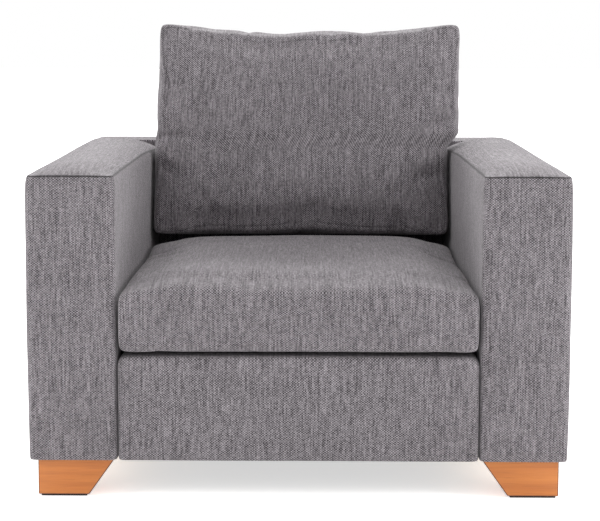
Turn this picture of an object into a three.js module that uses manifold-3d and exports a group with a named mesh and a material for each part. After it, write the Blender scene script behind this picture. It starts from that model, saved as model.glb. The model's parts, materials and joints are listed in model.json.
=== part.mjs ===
// An upholstered armchair with loose seat and back cushions.
// Its timber, padding, covers and cushions are separate pieces.
// Millimetres, +Z up. The origin is on the floor under the middle of the chair, which faces -Y. Left is -X.
import * as THREE from "three";
import { mergeVertices } from "three/addons/utils/BufferGeometryUtils.js";
import Module from "manifold-3d";

// Overall sizes
const overallWidth = 1060;
const overallDepth = 900;
const armWidth = 175;
const armHeight = 639;
const backDepth = 110;
const backHeight = 643;
const legHeight = 75; // floor to the underside of the upholstery
const deckHeight = 283; // floor to the cloth that the seat cushion lies on

// Covers and padding, from the outside in
const coverThickness = 3;
const padThickness = 14;
const layerGap = 0.4; // between two pieces that touch
const coverCorner = 18; // radius of the covers' rounded edges
const underclothThickness = 1.5;

// Timber frame
const boardThickness = 24;
const panelThickness = 4;
const postWidth = 40;
const sideRailHeight = 90;

// Seat suspension
const springCount = 4;
const springWireRadius = 1.9;
const springWaves = 8;
const springWaveWidth = 46;
const springStepsPerWave = 8;
const springEndInset = 8; // how far a spring's ends lie onto the rails
const springPadThickness = 22;
const edgePadDepth = 62; // how far the front padding reaches back over the front rail

// Back rest
const lean = THREE.MathUtils.degToRad(8);
const wedgeTopThickness = 6;
const strapCount = 3;
const strapHeight = 50;
const strapThickness = 2;

// Cushions
const cushionSideGap = 5; // seat cushion to arm, and back cushion to arm
const cushionRestGap = 4; // under and behind a loose cushion
const seatCushionEdgeHeight = 122;
const seatCushionCrown = 32; // how far the middle of the cushion rises above its side edges
const backCushionThickness = 200;
const backCushionHeight = 500;
const cushionCorner = 20;
const crownSegments = 5; // flats on each curve of the crowned cushion
const cushionShoulder = 50; // how far the top edges roll over in front and behind
const cushionCover = 4;
const seatZipHeight = 41; // above the cushion's underside
const zipWidth = 16;
const zipTapeThickness = 1.2;
const seatZipLength = 520;
const backZipLength = 460;
const sliderSize = { length: 12, width: 9, thickness: 2 };
const sliderGap = 0.4;

// Feet
const footInnerInset = 7; // from the arm's inner side to the foot's widest edge
const footBottomWidth = 100;
const footDepth = 75;
const footInset = 18; // from the chair's side to the foot
const footSetback = 8; // from the chair's front or back to the foot
const glideThickness = 4;
const glideInset = 5;
const boltRadius = 4;
const boltHeadRadius = 8;
const boltHeadHeight = 5;
const boltReach = 45; // how far the bolt goes down into the foot
const boltClearance = 0.3;
const boltSides = 16;
const boltHeadSides = 6;
const boltPostGap = 2; // from a bolt's head to the arm's front post

const cutOver = 1; // how far a cutting tool passes the face that it opens

// Where the faces of the chair lie
const side = overallWidth / 2;
const front = -overallDepth / 2;
const rear = overallDepth / 2;
const armInner = side - armWidth;
const backFront = rear - backDepth;
const seatHalf = armInner - layerGap;
const padInset = coverThickness + layerGap;
const frameInset = padInset + padThickness + layerGap;
const railFront = front + frameInset;
const boardBottom = legHeight + layerGap;
const springPadTop = deckHeight - coverThickness - layerGap;
const springHeight = springPadTop - springPadThickness - layerGap - springWireRadius;
const railTop = springHeight - springWireRadius - layerGap;
const wedgeBottom = deckHeight + layerGap;
const wedgeTop = backHeight - padInset;

const colours = { cloth: 0x7d787c, lining: 0x3a3a3c, foam: 0xd9cfa8, timber: 0xb98f5f, board: 0x9a7a55 };
const hardColours = { foot: 0xcf824c, glide: 0x2b2b2b, steel: 0x9a9da0, zip: 0x4a484a };

const wasm = await Module();
wasm.setup();

function toSolid(geometry) {
  const bare = geometry.index ? geometry.toNonIndexed() : geometry.clone();
  bare.deleteAttribute("normal");
  bare.deleteAttribute("uv");
  const merged = mergeVertices(bare);
  return new wasm.Manifold(
    new wasm.Mesh({
      numProp: 3,
      vertProperties: new Float32Array(merged.attributes.position.array),
      triVerts: new Uint32Array(merged.index.array),
    }),
  );
}

function toGeometry(solid) {
  const mesh = solid.getMesh();
  const geometry = new THREE.BufferGeometry();
  geometry.setAttribute("position", new THREE.BufferAttribute(mesh.vertProperties, 3));
  geometry.setIndex(new THREE.BufferAttribute(mesh.triVerts, 1));
  geometry.computeVertexNormals();
  return geometry;
}

function common(...geometries) {
  return toGeometry(geometries.map(toSolid).reduce((kept, other) => kept.intersect(other)));
}

function joined(...geometries) {
  return toGeometry(geometries.map(toSolid).reduce((kept, other) => kept.add(other)));
}

function cut(body, ...tools) {
  return toGeometry(tools.map(toSolid).reduce((kept, tool) => kept.subtract(tool), toSolid(body)));
}

function named(name, geometry, color, roughness = 0.9, metalness = 0) {
  const mesh = new THREE.Mesh(geometry, new THREE.MeshStandardMaterial({ color, roughness, metalness }));
  mesh.name = name;
  return mesh;
}

// A box between two values on each axis
function box(x, y, z) {
  const geometry = new THREE.BoxGeometry(x[1] - x[0], y[1] - y[0], z[1] - z[0]);
  return geometry.translate((x[0] + x[1]) / 2, (y[0] + y[1]) / 2, (z[0] + z[1]) / 2);
}

// The directions that an outline's own two axes and its depth take for each view of the chair
const views = {
  above: [new THREE.Vector3(1, 0, 0), new THREE.Vector3(0, 1, 0), new THREE.Vector3(0, 0, 1)],
  ahead: [new THREE.Vector3(1, 0, 0), new THREE.Vector3(0, 0, 1), new THREE.Vector3(0, -1, 0)],
  aside: [new THREE.Vector3(0, 1, 0), new THREE.Vector3(0, 0, 1), new THREE.Vector3(1, 0, 0)],
};

// An outline drawn in one view, as a prism between two values on the axis that the view looks along
function prism(shape, view, span, curveSegments = 3) {
  const depth = span[1] - span[0];
  const geometry = new THREE.ExtrudeGeometry(shape, { depth, bevelEnabled: false, curveSegments });
  geometry.translate(0, 0, view === "ahead" ? -span[1] : span[0]);
  return geometry.applyMatrix4(new THREE.Matrix4().makeBasis(...views[view]));
}

// A rectangle whose corners have their own radii: low a low b, high a low b, high a high b, low a high b
function roundedOutline(a, b, radii) {
  const [r0, r1, r2, r3] = radii;
  const shape = new THREE.Shape();
  shape.moveTo(a[0] + r0, b[0]);
  shape.lineTo(a[1] - r1, b[0]);
  if (r1 > 0) shape.absarc(a[1] - r1, b[0] + r1, r1, -Math.PI / 2, 0);
  shape.lineTo(a[1], b[1] - r2);
  if (r2 > 0) shape.absarc(a[1] - r2, b[1] - r2, r2, 0, Math.PI / 2);
  shape.lineTo(a[0] + r3, b[1]);
  if (r3 > 0) shape.absarc(a[0] + r3, b[1] - r3, r3, Math.PI / 2, Math.PI);
  shape.lineTo(a[0], b[0] + r0);
  if (r0 > 0) shape.absarc(a[0] + r0, b[0] + r0, r0, Math.PI, (3 * Math.PI) / 2);
  return shape;
}

// A block with its front and top edges rounded
function paddedBlock(x, y, z, radius) {
  return common(
    prism(roundedOutline(x, y, [radius, radius, 0, 0]), "above", z),
    prism(roundedOutline(x, z, [0, 0, radius, radius]), "ahead", y),
    prism(roundedOutline(y, z, [0, 0, 0, radius]), "aside", x),
  );
}

// A layer of a padded block that is open below and behind, with its own corner radius outside and inside
function openLayer(x, y, z, thickness, radius, innerRadius) {
  const inner = paddedBlock(
    [x[0] + thickness, x[1] - thickness],
    [y[0] + thickness, y[1] + thickness],
    [z[0] - thickness, z[1] - thickness],
    innerRadius,
  );
  return cut(paddedBlock(x, y, z, radius), inner);
}

// A cover follows its own corners inside, and padding fits the square timber that it wraps
function coverLayer(x, y, z) {
  return openLayer(x, y, z, coverThickness, coverCorner, Math.max(coverCorner - coverThickness, 0));
}

function padLayer(x, y, z) {
  return openLayer(x, y, z, padThickness, Math.max(coverCorner - padInset, 0), 0);
}

// The two ends of an arm's width at a depth under its outer face, for the arm on the given side
function armSpan(sign, inset) {
  const ends = [sign * (armInner + inset), sign * (side - inset)];
  return ends.sort((p, q) => p - q);
}

function armSoftLayer(layer, sign, inset) {
  return layer(armSpan(sign, inset), [front + inset, backFront - layerGap], [legHeight, armHeight - inset]);
}

function makeArm(name, sign) {
  const arm = new THREE.Group();
  const timberTop = armHeight - frameInset;
  const y = [railFront, backFront - layerGap];
  const [low, high] = armSpan(sign, frameInset);
  const panelX = sign > 0 ? [low, low + panelThickness] : [high - panelThickness, high];
  const boardX = sign > 0 ? [panelX[1] + layerGap, high] : [low, panelX[0] - layerGap];
  const bottomZ = [boardBottom, boardBottom + boardThickness];
  const topZ = [timberTop - boardThickness, timberTop];
  const postZ = [bottomZ[1] + layerGap, topZ[0] - layerGap];
  const bottomBoard = cut(box(boardX, y, bottomZ), boltHole(sign * footMiddle, boltY(-1)));
  arm.add(
    named(`arm_cover_${name}`, armSoftLayer(coverLayer, sign, 0), colours.cloth),
    named(`arm_pad_${name}`, armSoftLayer(padLayer, sign, padInset), colours.foam),
    named(`arm_inner_panel_${name}`, box(panelX, y, [boardBottom, timberTop]), colours.board),
    named(`arm_top_board_${name}`, box(boardX, y, topZ), colours.timber),
    named(`arm_bottom_board_${name}`, bottomBoard, colours.timber),
    named(`arm_front_post_${name}`, box(boardX, [y[0], y[0] + boardThickness], postZ), colours.timber),
  );
  return arm;
}

// Feet stand at the four corners: sign is the side, and end is -1 at the front and 1 at the back
const footTopWidth = armWidth - footInset - footInnerInset;
const footMiddle = side - footInset - footTopWidth / 2;

function footCentreY(end) {
  return end * (overallDepth / 2 - footSetback - footDepth / 2);
}

// Bolts stand just behind the arm's front post, and as far from the chair's middle at the back
function boltY(end) {
  return -end * (railFront + boardThickness + boltPostGap + boltHeadRadius);
}

function boltHole(x, y) {
  const height = boardThickness + boltReach + boltHeadHeight;
  const radius = boltRadius + boltClearance;
  const hole = new THREE.CylinderGeometry(radius, radius, height, boltSides);
  const top = boardBottom + boardThickness + boltHeadHeight;
  return hole.rotateX(Math.PI / 2).translate(x, y, top - height / 2);
}

function makeFoot(name, sign, end) {
  const foot = new THREE.Group();
  const outer = side - footInset;
  const outline = new THREE.Shape();
  outline.moveTo(sign * outer, legHeight - layerGap);
  outline.lineTo(sign * (outer - footTopWidth), legHeight - layerGap);
  outline.lineTo(sign * (outer - footBottomWidth), glideThickness);
  outline.lineTo(sign * outer, glideThickness);
  const y = [footCentreY(end) - footDepth / 2, footCentreY(end) + footDepth / 2];
  const block = cut(prism(outline, "ahead", y), boltHole(sign * footMiddle, boltY(end)));
  const glideX = [sign * (outer - footBottomWidth + glideInset), sign * (outer - glideInset)];
  const glideY = [y[0] + glideInset, y[1] - glideInset];
  const glide = box(glideX.sort((p, q) => p - q), glideY, [0, glideThickness - layerGap]);
  foot.add(
    named(`foot_${name}`, block, hardColours.foot, 0.45),
    named(`glide_${name}`, glide, hardColours.glide, 0.8),
    named(`foot_bolt_${name}`, bolt(sign * footMiddle, boltY(end)), hardColours.steel, 0.4, 1),
  );
  return foot;
}

function bolt(x, y) {
  const headBottom = boardBottom + boardThickness + layerGap;
  const shankHeight = headBottom - (boardBottom + boardThickness - boltReach) + layerGap;
  const shank = new THREE.CylinderGeometry(boltRadius, boltRadius, shankHeight, boltSides);
  const head = new THREE.CylinderGeometry(boltHeadRadius, boltHeadRadius, boltHeadHeight, boltHeadSides);
  shank.rotateX(Math.PI / 2).translate(0, 0, headBottom + layerGap - shankHeight / 2);
  head.rotateX(Math.PI / 2).translate(0, 0, headBottom + boltHeadHeight / 2);
  return joined(shank, head).translate(x, y, 0);
}

// A wavy wire from the front rail to the back rail
class SpringPath extends THREE.Curve {
  constructor(x, y) {
    super();
    Object.assign(this, { x, y });
  }
  getPoint(t, target = new THREE.Vector3()) {
    const wave = Math.sin(t * springWaves * 2 * Math.PI) * (springWaveWidth / 2);
    return target.set(this.x + wave, THREE.MathUtils.lerp(this.y[0], this.y[1], t), springHeight);
  }
}

function springWire(x, y) {
  const section = new THREE.Shape();
  section.absarc(0, 0, springWireRadius, 0, 2 * Math.PI);
  const steps = springWaves * springStepsPerWave;
  return new THREE.ExtrudeGeometry(section, { steps, curveSegments: 3, extrudePath: new SpringPath(x, y) });
}

// A layer over the front rail, open below and behind
function frontEdgeLayer(layer, inset) {
  const half = seatHalf - inset;
  return layer([-half, half], [front + inset, front + inset + edgePadDepth], [legHeight, deckHeight - inset]);
}

function makeSeatBase() {
  const seat = new THREE.Group();
  const inside = seatHalf - frameInset;
  const sideRailY = [railFront + boardThickness + layerGap, backFront - layerGap - boardThickness - layerGap];
  const railZ = [boardBottom + underclothThickness + layerGap, railTop];
  const sideRailZ = [railTop - sideRailHeight, railTop];
  const rearRailY = [sideRailY[1] + layerGap, backFront - layerGap];
  const padY = [front + padInset + edgePadDepth + layerGap, backFront - layerGap];
  const deckZ = [springPadTop + layerGap, deckHeight];
  const springPadZ = [springPadTop - springPadThickness, springPadTop];
  const frontRail = box([-inside, inside], [railFront, railFront + boardThickness], railZ);
  seat.add(
    named("front_rail_cover", frontEdgeLayer(coverLayer, 0), colours.cloth),
    named("front_rail_pad", frontEdgeLayer(padLayer, padInset), colours.foam),
    named("front_rail", frontRail, colours.timber),
    named("rear_rail", box([-inside, inside], rearRailY, railZ), colours.timber),
    named("deck_cloth", box([-seatHalf, seatHalf], padY, deckZ), colours.lining),
    named("spring_pad", box([-seatHalf, seatHalf], padY, springPadZ), colours.foam),
    named("underside_cloth", box([-inside, inside], [railFront, backFront - layerGap],
      [boardBottom, boardBottom + underclothThickness]), colours.lining),
  );
  for (const [name, sign] of [["left", -1], ["right", 1]]) {
    const x = [sign * inside, sign * (inside - boardThickness)].sort((p, q) => p - q);
    seat.add(named(`side_rail_${name}`, box(x, sideRailY, sideRailZ), colours.timber));
  }
  const springY = [railFront + springEndInset, backFront - layerGap - springEndInset];
  for (let i = 0; i < springCount; i += 1) {
    const x = (2 * inside * (i + 0.5)) / springCount - inside;
    seat.add(named(`seat_spring_${i + 1}`, springWire(x, springY), hardColours.steel, 0.4, 1));
  }
  return seat;
}

function makeBackFrame() {
  const back = new THREE.Group();
  const corner = coverCorner;
  const x = [-side, side];
  const z = [legHeight, backHeight];
  const strapFront = backFront + coverThickness + layerGap;
  const timberY = [strapFront + strapThickness + layerGap, rear - panelThickness - layerGap];
  const timberHalf = side - padInset;
  const timberTop = backHeight - padInset;
  const bottomZ = [boardBottom, boardBottom + boardThickness];
  const topZ = [timberTop - boardThickness, timberTop];
  const postZ = [bottomZ[1] + layerGap, topZ[0] - layerGap];
  const corners = [-1, 1].map((sign) => boltHole(sign * footMiddle, boltY(1)));
  const railX = [-timberHalf + corner, timberHalf - corner];
  const panelRadii = [0, 0, corner - padInset, corner - padInset];
  const panelOutline = roundedOutline([-timberHalf, timberHalf], [boardBottom, timberTop], panelRadii);
  back.add(
    named("back_cover", coverLayer(x, [backFront, rear], z), colours.cloth),
    named("outside_back_panel", prism(panelOutline, "ahead", [timberY[1] + layerGap, rear]), colours.cloth),
    named("back_top_rail", box(railX, [timberY[0] + corner, timberY[1]], topZ), colours.timber),
    named("back_bottom_rail", cut(box(railX, timberY, bottomZ), ...corners), colours.timber),
  );
  for (const [name, sign] of [["left", -1], ["right", 1]]) {
    const post = [sign * timberHalf, sign * (timberHalf - postWidth)].sort((p, q) => p - q);
    const stile = [sign * armInner, sign * (armInner - postWidth)].sort((p, q) => p - q);
    const postY = [timberY[0] + corner, timberY[1]];
    back.add(
      named(`back_post_${name}`, box(post, postY, postZ), colours.timber),
      named(`back_stile_${name}`, box(stile, timberY, postZ), colours.timber),
    );
  }
  const strapY = [strapFront, strapFront + strapThickness];
  for (let i = 0; i < strapCount; i += 1) {
    const middle = THREE.MathUtils.lerp(deckHeight, timberTop, (i + 0.5) / strapCount);
    const strapZ = [middle - strapHeight / 2, middle + strapHeight / 2];
    back.add(named(`back_strap_${i + 1}`, box([-armInner, armInner], strapY, strapZ), colours.lining));
  }
  back.add(
    named("back_wedge", leaningSlab(0, null), colours.foam),
    named("inside_back_cover", leaningSlab(layerGap, coverThickness), colours.cloth),
  );
  return back;
}

// How far in front of the back frame the leaning back rest stands at a height
function restDepth(height) {
  return layerGap + wedgeTopThickness + (wedgeTop - height) * Math.tan(lean);
}

// The wedge itself, or a layer of a thickness at a gap in front of it
function leaningSlab(gap, thickness) {
  const shape = new THREE.Shape();
  const facing = (height, depth) => backFront - restDepth(height) - depth / Math.cos(lean);
  const layer = thickness ?? 0;
  shape.moveTo(facing(wedgeBottom, gap + layer), wedgeBottom);
  shape.lineTo(thickness ? facing(wedgeBottom, gap) : backFront - layerGap, wedgeBottom);
  shape.lineTo(thickness ? facing(wedgeTop, gap) : backFront - layerGap, wedgeTop);
  shape.lineTo(facing(wedgeTop, gap + layer), wedgeTop);
  return prism(shape, "aside", [-seatHalf, seatHalf]);
}

// The front of the covered back rest at a height
function restFront(height) {
  return backFront - restDepth(height) - (layerGap + coverThickness) / Math.cos(lean);
}

const seatCushionBottom = deckHeight + cushionRestGap;
const seatCushionRear = restFront(deckHeight) - cushionRestGap;
const seatEdgeTop = seatCushionBottom + seatCushionEdgeHeight;
const seatTop = seatEdgeTop + seatCushionCrown;
const cushionHalf = armInner - cushionSideGap;

// The back cushion's lower back edge: its front edge just clears the seat cushion's top
const backEdgeHeight = seatTop - backCushionThickness * Math.sin(lean);
const backEdgeY = restFront(backEdgeHeight) - cushionRestGap;
const backCushionFront = backEdgeY - backCushionThickness * Math.cos(lean);

// The seat cushion is highest in front of the back cushion, and falls away under it
function seatCushionBlock() {
  const fallStart = backCushionFront - cushionRestGap;
  const rearTop = backEdgeHeight - (seatCushionRear - backEdgeY) * Math.tan(lean) - 2 * cushionRestGap;
  const shoulder = cushionShoulder;
  const y = [front, seatCushionRear];
  const cornerZ = seatCushionBottom + cushionCorner;
  const profile = new THREE.Shape();
  profile.moveTo(y[0] + cushionCorner, seatCushionBottom);
  profile.lineTo(y[1] - cushionCorner, seatCushionBottom);
  profile.absarc(y[1] - cushionCorner, cornerZ, cushionCorner, -Math.PI / 2, 0);
  profile.lineTo(y[1], rearTop - shoulder);
  profile.quadraticCurveTo(y[1], rearTop, y[1] - shoulder, rearTop);
  profile.lineTo(fallStart, seatTop - cushionRestGap);
  const topMiddle = [(y[0] + fallStart) / 2, seatTop + cushionRestGap];
  profile.quadraticCurveTo(...topMiddle, y[0] + shoulder, seatTop - cushionRestGap);
  profile.quadraticCurveTo(y[0], seatTop - cushionRestGap, y[0], seatEdgeTop - shoulder / 2);
  profile.lineTo(y[0], cornerZ);
  profile.absarc(y[0] + cushionCorner, cornerZ, cushionCorner, Math.PI, (3 * Math.PI) / 2);
  return common(
    prism(profile, "aside", [-cushionHalf, cushionHalf], crownSegments),
    prism(crownedOutline(cushionHalf, seatCushionBottom, seatEdgeTop, seatTop), "ahead", y, crownSegments),
    prism(roundedOutline([-cushionHalf, cushionHalf], y, Array(4).fill(cushionCorner)), "above",
      [seatCushionBottom, seatTop]),
  );
}

// A cushion seen from the front: rounded corners, and a top that rises to the middle
function crownedOutline(half, bottom, edgeTop, top) {
  const r = cushionCorner;
  const shape = new THREE.Shape();
  shape.moveTo(-half + r, bottom);
  shape.lineTo(half - r, bottom);
  shape.absarc(half - r, bottom + r, r, -Math.PI / 2, 0);
  shape.lineTo(half, edgeTop - r);
  shape.absarc(half - r, edgeTop - r, r, 0, Math.PI / 2);
  shape.bezierCurveTo(half / 2, top, half / 4, top, 0, top);
  shape.bezierCurveTo(-half / 4, top, -half / 2, top, -half + r, edgeTop);
  shape.absarc(-half + r, edgeTop - r, r, Math.PI / 2, Math.PI);
  shape.lineTo(-half, bottom + r);
  shape.absarc(-half + r, bottom + r, r, Math.PI, (3 * Math.PI) / 2);
  return shape;
}

// The same form made smaller by an inset on every side
function shrunk(geometry, inset) {
  const smaller = geometry.clone();
  smaller.computeBoundingBox();
  const middle = smaller.boundingBox.getCenter(new THREE.Vector3());
  const size = smaller.boundingBox.getSize(new THREE.Vector3());
  smaller.translate(...middle.clone().negate());
  smaller.scale(1 - (2 * inset) / size.x, 1 - (2 * inset) / size.y, 1 - (2 * inset) / size.z);
  return smaller.translate(...middle);
}

// A cover with a zip slot, its core, the zip tape and the slider.
// The zip lies across X at a place on one face, and outward is that face's direction.
function cushionPieces(name, block, zip) {
  const outward = zip.outward;
  const across = new THREE.Vector3(0, Math.abs(outward.z), Math.abs(outward.y));
  const plate = (length, width, thickness, depth, x = 0) => {
    const size = across.clone().multiplyScalar(width);
    size.add(new THREE.Vector3(length, Math.abs(outward.y) * thickness, Math.abs(outward.z) * thickness));
    const place = zip.place.clone().addScaledVector(outward, -depth - thickness / 2);
    return new THREE.BoxGeometry(size.x, size.y, size.z).translate(place.x + x, place.y, place.z);
  };
  const slot = plate(zip.length, zipWidth, cushionCover + 2 * cutOver, -cutOver);
  const tapeDepth = sliderSize.thickness + 2 * sliderGap;
  const tape = plate(zip.length - 2 * layerGap, zipWidth - 2 * layerGap, zipTapeThickness, tapeDepth);
  const start = -zip.length / 2 + sliderSize.length;
  const slider = plate(sliderSize.length, sliderSize.width, sliderSize.thickness, sliderGap, start);
  return [
    named(`${name}_cushion_cover`, cut(block, shrunk(block, cushionCover), slot), colours.cloth),
    named(`${name}_cushion_core`, shrunk(block, cushionCover + layerGap), colours.foam),
    named(`${name}_cushion_zip_tape`, tape, hardColours.zip),
    named(`${name}_cushion_zip_slider`, slider, hardColours.steel, 0.4, 1),
  ];
}

function makeSeatCushion() {
  const cushion = new THREE.Group();
  const place = new THREE.Vector3(0, seatCushionRear, seatCushionBottom + seatZipHeight);
  cushion.add(...cushionPieces("seat", seatCushionBlock(), {
    place, outward: new THREE.Vector3(0, 1, 0), length: seatZipLength,
  }));
  return cushion;
}

// Built upright with its lower back edge on its own origin, then leaned back
function makeBackCushion() {
  const cushion = new THREE.Group();
  const x = [-cushionHalf, cushionHalf];
  const y = [-backCushionThickness, 0];
  const z = [0, backCushionHeight];
  const corners = Array(4).fill(cushionCorner);
  const block = common(
    prism(roundedOutline(x, y, corners), "above", z),
    prism(roundedOutline(x, z, corners), "ahead", y),
    prism(roundedOutline(y, z, corners), "aside", x),
  );
  cushion.add(...cushionPieces("back", block, {
    place: new THREE.Vector3(0, -backCushionThickness / 2, 0),
    outward: new THREE.Vector3(0, 0, -1),
    length: backZipLength,
  }));
  cushion.rotation.x = -lean;
  cushion.position.set(0, backEdgeY, backEdgeHeight);
  return cushion;
}

const armchair = new THREE.Group();
armchair.add(makeArm("left", -1), makeArm("right", 1), makeSeatBase(), makeBackFrame());
armchair.add(makeFoot("front_left", -1, -1), makeFoot("front_right", 1, -1));
armchair.add(makeFoot("rear_left", -1, 1), makeFoot("rear_right", 1, 1));
armchair.add(makeSeatCushion(), makeBackCushion());

export default armchair;
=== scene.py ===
import json
import math

import bmesh
import bpy
import numpy as np
from mathutils import Euler, Matrix, Vector, kdtree, noise


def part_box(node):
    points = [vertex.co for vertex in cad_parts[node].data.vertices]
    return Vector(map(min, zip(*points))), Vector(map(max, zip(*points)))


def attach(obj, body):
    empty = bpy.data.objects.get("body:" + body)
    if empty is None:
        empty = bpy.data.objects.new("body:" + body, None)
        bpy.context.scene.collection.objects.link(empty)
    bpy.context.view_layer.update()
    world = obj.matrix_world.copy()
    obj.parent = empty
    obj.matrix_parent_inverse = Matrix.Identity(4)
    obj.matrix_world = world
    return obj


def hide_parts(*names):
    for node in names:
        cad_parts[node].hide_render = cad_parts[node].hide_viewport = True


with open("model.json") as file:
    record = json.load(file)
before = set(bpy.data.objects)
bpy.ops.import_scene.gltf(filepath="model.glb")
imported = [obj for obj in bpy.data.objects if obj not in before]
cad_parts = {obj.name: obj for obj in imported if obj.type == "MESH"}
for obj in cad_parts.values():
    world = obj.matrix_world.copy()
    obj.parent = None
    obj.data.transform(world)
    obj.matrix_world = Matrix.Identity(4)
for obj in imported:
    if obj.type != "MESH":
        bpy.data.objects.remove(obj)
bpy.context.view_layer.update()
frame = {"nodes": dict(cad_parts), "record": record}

bpy.context.scene.view_settings.view_transform = "Standard"
bpy.context.scene.cycles.denoising_prefilter = "NONE"     # keeps the fine weave
print("frame loaded")


# Makes one piece the only one selected, in object mode
def pickOnly(piece):
    if bpy.context.object and bpy.context.object.mode != "OBJECT":
        bpy.ops.object.mode_set(mode="OBJECT")
    bpy.ops.object.select_all(action="DESELECT")
    piece.select_set(True)
    bpy.context.view_layer.objects.active = piece


def addBlock(name, low, high):
    bpy.ops.object.select_all(action="DESELECT")
    low, high = Vector(low), Vector(high)
    bpy.ops.mesh.primitive_cube_add(size=1, location=(low + high) / 2)
    piece = bpy.context.object
    piece.name = name
    piece.data.name = name
    piece.scale = high - low
    bpy.ops.object.transform_apply(location=True, rotation=True, scale=True)
    return piece


# Selects the faces, edges or points that pass a test, in edit mode
def pick(piece, kind, test):
    bpy.ops.mesh.select_mode(type=kind)
    bpy.ops.mesh.select_all(action="DESELECT")
    cage = bmesh.from_edit_mesh(piece.data)
    cage.normal_update()
    found = {"VERT": cage.verts, "EDGE": cage.edges, "FACE": cage.faces}[kind]
    for part in found:
        if test(part):
            part.select_set(True)
    cage.select_flush_mode()
    bmesh.update_edit_mesh(piece.data)


def middleOf(edge):
    return (edge.verts[0].co + edge.verts[1].co) / 2


def along(edge, axis):
    run = edge.verts[1].co - edge.verts[0].co
    return abs(run[axis]) > 0.999 * run.length


# Cuts the straight runs of a block into cells of about this size
def cutIntoCells(piece, cell):
    for axis in range(3):
        pick(piece, "EDGE", lambda edge: along(edge, axis) and edge.calc_length() > 1.6 * cell)
        cage = bmesh.from_edit_mesh(piece.data)
        longest = max([e.calc_length() for e in cage.edges if e.select] or [0])
        cuts = round(longest / cell) - 1
        if cuts > 0:
            bpy.ops.mesh.subdivide(number_cuts=cuts)


def points(piece):
    co = np.zeros(len(piece.data.vertices) * 3)
    piece.data.vertices.foreach_get("co", co)
    return co.reshape(-1, 3)


def setPoints(piece, co):
    piece.data.vertices.foreach_set("co", co.ravel())
    piece.data.update()


def softNoise(co, scale, seed):
    shift = Vector((seed * 7.3, seed * 3.1, seed * 5.7))
    return np.array([noise.noise(Vector(p) * scale + shift) for p in co])


def smoothStep(a, b, value):
    t = np.clip((value - a) / (b - a), 0, 1)
    return t * t * (3 - 2 * t)


def applyAll(piece):
    pickOnly(piece)
    for modifier in list(piece.modifiers):
        bpy.ops.object.modifier_apply(modifier=modifier.name)


def subdivideSmooth(piece, levels=1):
    rounder = piece.modifiers.new("rounder", "SUBSURF")
    rounder.levels = levels
    rounder.render_levels = levels
    applyAll(piece)


# Lays the cloth's own map on a piece in metres: it runs on over the edges from the front face
def layWeave(piece, low, high):
    mesh = piece.data
    for old in list(mesh.uv_layers):
        mesh.uv_layers.remove(old)
    layer = mesh.uv_layers.new(name="weave")
    for face in mesh.polygons:
        n = face.normal
        size = [abs(n.x), abs(n.y), abs(n.z)]
        axis = size.index(max(size))
        for loop in face.loop_indices:
            p = mesh.vertices[mesh.loops[loop].vertex_index].co
            if axis == 1:
                uv = (p.x, p.z)
            elif axis == 2:
                uv = (p.x, high[2] + (p.y - low[1])) if n.z > 0 else (p.x, low[2] - (p.y - low[1]))
            elif n.x > 0:
                uv = (high[0] + (p.y - low[1]), p.z)
            else:
                uv = (low[0] - (p.y - low[1]), p.z)
            layer.data[loop].uv = uv


# Turns the marked edges into a stitched valley, and leaves its middle in the "seam" attribute, scaled by
# shade: how much painted shade the cloth material lays along that valley
def sewSeams(piece, width, depth, shade=1.0):
    mesh = piece.data
    marked = mesh.attributes.get("seamEdge")
    flags = np.zeros(len(mesh.edges), bool)
    marked.data.foreach_get("value", flags)
    ends = np.zeros(len(mesh.edges) * 2, int)
    mesh.edges.foreach_get("vertices", ends)
    onSeam = np.unique(ends.reshape(-1, 2)[flags])
    co = points(piece)
    tree = kdtree.KDTree(len(onSeam))
    for i, at in enumerate(onSeam):
        tree.insert(co[at], i)
    tree.balance()
    pickOnly(piece)
    bpy.ops.object.mode_set(mode="EDIT")
    pick(piece, "EDGE", lambda edge: flags[edge.index])
    bpy.ops.mesh.bevel(offset=width / 2, segments=2, profile=1.0, clamp_overlap=True)
    bpy.ops.object.mode_set(mode="OBJECT")
    co = points(piece)
    seam = np.array([tree.find(p)[2] < 0.00002 for p in co])
    normals = np.zeros(len(co) * 3)
    mesh.vertices.foreach_get("normal", normals)
    co[seam] -= normals.reshape(-1, 3)[seam] * depth
    setPoints(piece, co)
    # the seam's middle times shade, the strength of the painted shade the material lays there
    layer = mesh.attributes.get("seam") or mesh.attributes.new("seam", "FLOAT", "POINT")
    layer.data.foreach_set("value", (shade * seam).astype(np.float32))
    mesh.attributes.remove(mesh.attributes["seamEdge"])


def markSeams(piece, test):
    pickOnly(piece)
    bpy.ops.object.mode_set(mode="EDIT")
    cage = bmesh.from_edit_mesh(piece.data)
    cage.normal_update()
    flags = np.array([bool(test(edge)) for edge in cage.edges])
    bpy.ops.object.mode_set(mode="OBJECT")
    layers = piece.data.attributes
    layer = layers.get("seamEdge") or layers.new("seamEdge", "BOOLEAN", "EDGE")
    layer.data.foreach_set("value", flags)


def smoothShade(piece, degrees=None):
    pickOnly(piece)
    if degrees is None:
        bpy.ops.object.shade_smooth()
    else:
        bpy.ops.object.shade_smooth_by_angle(angle=math.radians(degrees))


def giveMaterial(piece, material):
    piece.data.materials.clear()
    piece.data.materials.append(material)


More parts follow.
